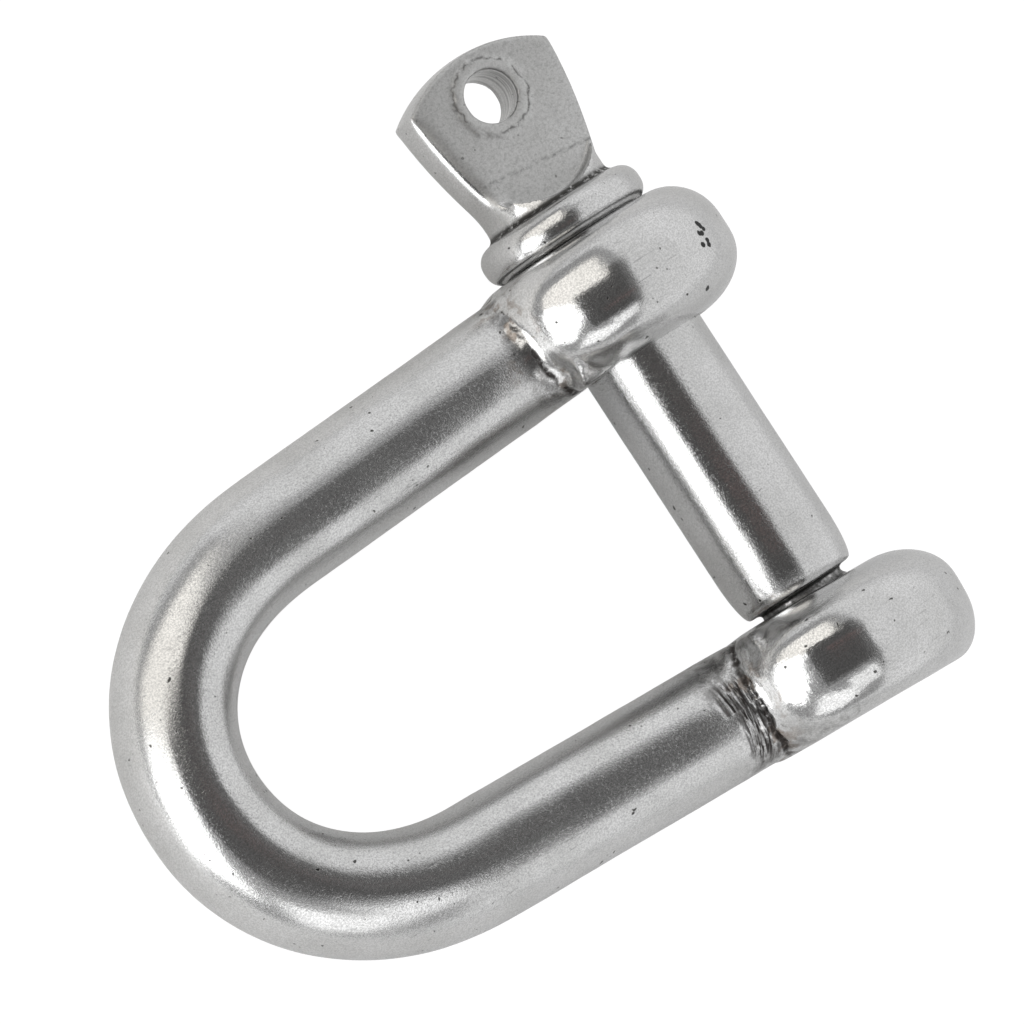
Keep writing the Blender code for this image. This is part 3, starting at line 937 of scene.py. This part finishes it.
def pin_steel(group):
    """Turned and tumbled pin: bright shank, satin tab, a near-black corner by the collar and oil
    on the thread.
    """
    material, board, shader, place, wear = steel_board("turned_steel", group)
    out = wear.outputs
    flat, collar_corner_dark, burr, smear, wall, tool_line, thread = (
        board.attribute(name)
        for name in ("tab_flat", "collar_corner_dark", "burr", "smear", "hole_wall", "tool_line", "thread"))
    broken = board.noise(place, 1500.0, 4.0, 0.65)
    # Near black in the corner by the collar, and oil on the thread's first turns
    dark_corner_and_oil = board.times(collar_corner_dark, board.step(broken, 0.30, 0.48))
    oily = board.times(thread, board.step(broken, 0.25, 0.65, 0.2, 0.9))
    dark_corner_and_oil = board.math("MAXIMUM", dark_corner_and_oil, oily)
    parted = board.step(board.noise(place, 330.0, 1.0, 0.5), 0.36, 0.44)
    outline = board.times(burr, board.times(parted, board.step(broken, 0.35, 0.55)))
    speckle = board.step(board.noise(place, 3300.0, 4.0, 0.75), 0.46, 0.66)
    scribed = board.times(tool_line, board.step(broken, 0.40, 0.55))
    drawn = board.add("ShaderNodeMapping", {"Vector": place, "Scale": ALONG_THE_HOLE}).outputs[0]
    rings = board.step(board.noise(drawn, 2600.0, 2.0, 0.6), 0.42, 0.62)
    steel = bare_steel(board, out, grey(0.76), (0.66, 0.66, 0.655, 1))
    steel = board.stain(steel, flat, 0.5, (0.44, 0.44, 0.435, 1))
    steel = board.stain(steel, board.times(flat, speckle), 0.35, (0.20, 0.20, 0.195, 1))
    steel = board.stain(steel, scribed, 0.6, grey(0.12))
    steel = board.stain(steel, smear, 0.2, (0.62, 0.62, 0.61, 1))
    steel = board.stain(steel, outline, 0.75, LIP_BLACK)
    steel = board.stain(steel, dark_corner_and_oil, 0.93, DARK_CORNER_AND_OIL_BLACK)
    steel = board.stain(steel, board.times(wall, rings), 0.55, grey(0.10))
    board.links.new(steel, shader.inputs["Base Color"])
    rough = board.step(out["Cloud"], 0.25, 0.75, 0.10, 0.16)
    rough = board.math("ADD", rough, board.times(flat, 0.28), clamp=True)
    rough = board.math("ADD", rough, board.times(dark_corner_and_oil, 0.4), clamp=True)
    board.links.new(rough, shader.inputs["Roughness"])
    height = board.math("SUBTRACT", out["Height"], board.times(outline, 1.2))
    height = board.math("ADD", height, board.times(smear, 0.8))
    bump = board.add("ShaderNodeBump",
                     {"Height": height, "Strength": 0.35, "Distance": BUMP_DEPTH})
    board.links.new(bump.outputs[0], shader.inputs["Normal"])
    return material


# Studio

VIEW = (Matrix.Rotation(CAMERA_ROLL, 3, "Z") @ Matrix.Rotation(CAMERA_NOD, 3, "X")
        @ Matrix.Rotation(CAMERA_TILT, 3, "Y"))
FACING = REST.to_3x3() @ VIEW.transposed()


def from_camera(right, up, towards):
    """A place in the studio, from the pin's middle, along the picture and towards the camera."""
    return REST @ (VIEW.transposed() @ Vector((right, up, towards)))


def set_camera():
    data = bpy.data.cameras.new("camera")
    data.sensor_width = SENSOR
    data.lens = SENSOR * CAMERA_FOCUS / PICTURE_SIZE
    data.clip_start = 0.01
    data.clip_end = 50
    camera = bpy.data.objects.new("camera", data)
    bpy.context.scene.collection.objects.link(camera)
    half = PICTURE_SIZE / 2
    back = Vector(((PIN_MIDDLE_IN_PICTURE[0] - half) / CAMERA_FOCUS,
                   (half - PIN_MIDDLE_IN_PICTURE[1]) / CAMERA_FOCUS, 1)).normalized()
    right = Vector((0, 1, 0)).cross(back).normalized()
    aim = Matrix((right, back.cross(right), back)).transposed()
    camera.matrix_world = (Matrix.Translation(from_camera(0, 0, CAMERA_DISTANCE))
                           @ (FACING @ aim).to_4x4())
    bpy.context.scene.camera = camera


def glow(name, colour, strength):
    material = bpy.data.materials.new(name)
    material.use_nodes = True
    tree = material.node_tree
    tree.nodes.clear()
    light = tree.nodes.new("ShaderNodeEmission")
    light.inputs["Color"].default_value = (*colour, 1)
    light.inputs["Strength"].default_value = strength
    tree.links.new(light.outputs[0], tree.nodes.new("ShaderNodeOutputMaterial").inputs[0])
    return material


def panel(name, right, up, height, width, length, colour, strength, turn):
    """A flat panel of the light tent, square to the camera's view and hidden from it."""
    deselect()
    bpy.ops.mesh.primitive_plane_add(size=1)
    sheet = bpy.context.object
    sheet.name = name
    sheet.scale = (width * MM, length * MM, 1)
    bpy.ops.object.transform_apply(location=False, rotation=False, scale=True)
    place = from_camera(right * MM, up * MM, height * MM)
    sheet.matrix_world = (Matrix.Translation(place) @ FACING.to_4x4()
                          @ Matrix.Rotation(math.radians(turn), 4, "Z"))
    sheet.data.materials.append(glow(name, colour, strength))
    sheet.visible_camera = False
    sheet.visible_shadow = False
    return sheet


def light_tent():
    for row in LIGHT_PANELS:
        panel(*row)
    for row in DULL_PANELS:
        panel(*row).visible_diffuse = False
    world = bpy.data.worlds.new("tent")
    bpy.context.scene.world = world
    world.use_nodes = True
    board = Board(world.node_tree)
    way = board.add("ShaderNodeTexCoord").outputs["Generated"]
    rise = board.add("ShaderNodeSeparateXYZ", {"Vector": way}).outputs["Z"]
    tent = board.mix(board.step(rise, 0.0, TENT_BLEND), grey(TENT_LOW), grey(TENT_HIGH))
    board.links.new(tent, board.nodes["Background"].inputs["Color"])


def pale_floor():
    """A plain floor that the camera sees as nearly white, and that the steel sees as pale grey."""
    deselect()
    bpy.ops.mesh.primitive_plane_add(size=FLOOR_SIZE)
    floor = bpy.context.object
    floor.name = "floor"
    paint = bpy.data.materials.new("pale_floor")
    paint.use_nodes = True
    board = Board(paint.node_tree)
    shader = board.nodes["Principled BSDF"]
    shader.inputs["Base Color"].default_value = grey(FLOOR_GREY)
    shader.inputs["Roughness"].default_value = FLOOR_ROUGHNESS
    lit = board.add("ShaderNodeEmission", {"Color": grey(1), "Strength": FLOOR_GLOW})
    seen = board.add("ShaderNodeLightPath").outputs["Is Camera Ray"]
    share = board.times(seen, FLOOR_GLOW_SHARE)
    blend = board.add("ShaderNodeMixShader", {0: share, 1: shader.outputs[0], 2: lit.outputs[0]})
    board.links.new(blend.outputs[0], board.nodes["Material Output"].inputs["Surface"])
    floor.data.materials.append(paint)


set_camera()
light_tent()
pale_floor()
bpy.context.scene.view_settings.view_transform = "Standard"
wear = worn_steel_group()
for piece, body, node, steel, finish in (
    (shackle_body(), "body", "shackle_body", body_steel(wear), "body_steel"),
    (screw_pin(), "pin", "screw_pin", pin_steel(wear), "pin_steel"),
):
    settle(piece, REST.to_translation(), REST.to_euler())
    pick(piece)
    bpy.ops.object.shade_smooth_by_angle(angle=SHARP_ANGLE)
    piece.data.materials.clear()
    piece.data.materials.append(steel)
    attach(piece, body)
    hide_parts(node)
